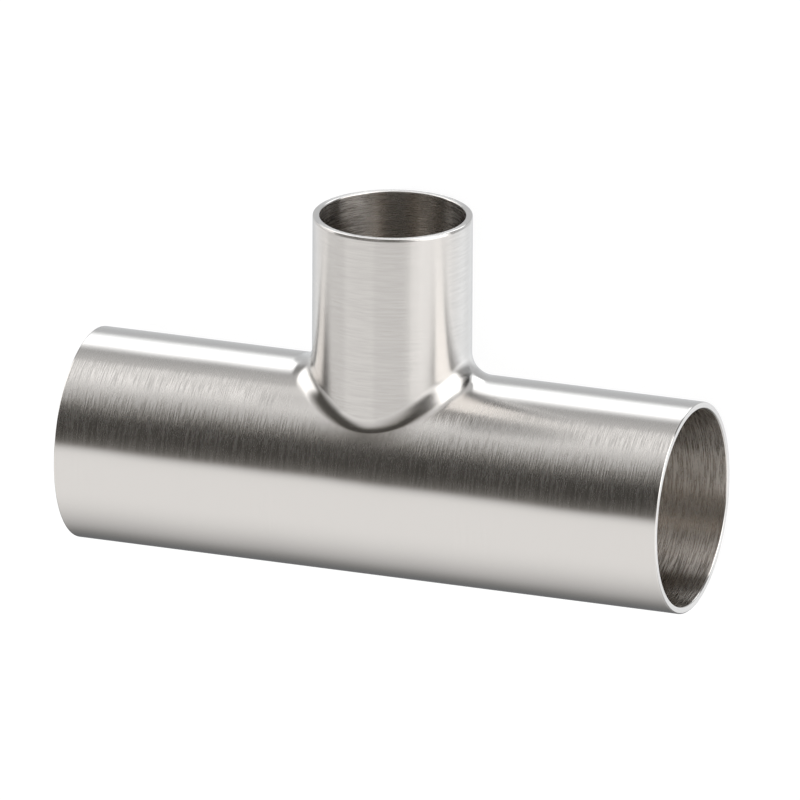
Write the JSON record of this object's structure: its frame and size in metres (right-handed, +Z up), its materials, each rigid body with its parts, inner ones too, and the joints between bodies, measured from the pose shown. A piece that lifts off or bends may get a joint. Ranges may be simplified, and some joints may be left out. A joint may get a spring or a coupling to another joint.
{
  "type": "reducing weld tee",
  "caption": "Straight stainless steel tube with a smaller branch drawn out of its side, for joining a thinner line to a run by butt welding.",
  "frame": {"origin": "where the axis of the run crosses the axis of the branch", "axes": "+X along the run, +Y along the branch towards its open end, +Z up, with the tee lying on the side of its run"},
  "size_m": [0.153, 0.0894, 0.0508],
  "materials": {
    "stainless_steel": "brushed around each tube, with polished, deburred edges"
  },
  "bodies": {
    "root": {"reducing_tee": "stainless_steel"}
  },
  "joints": []
}
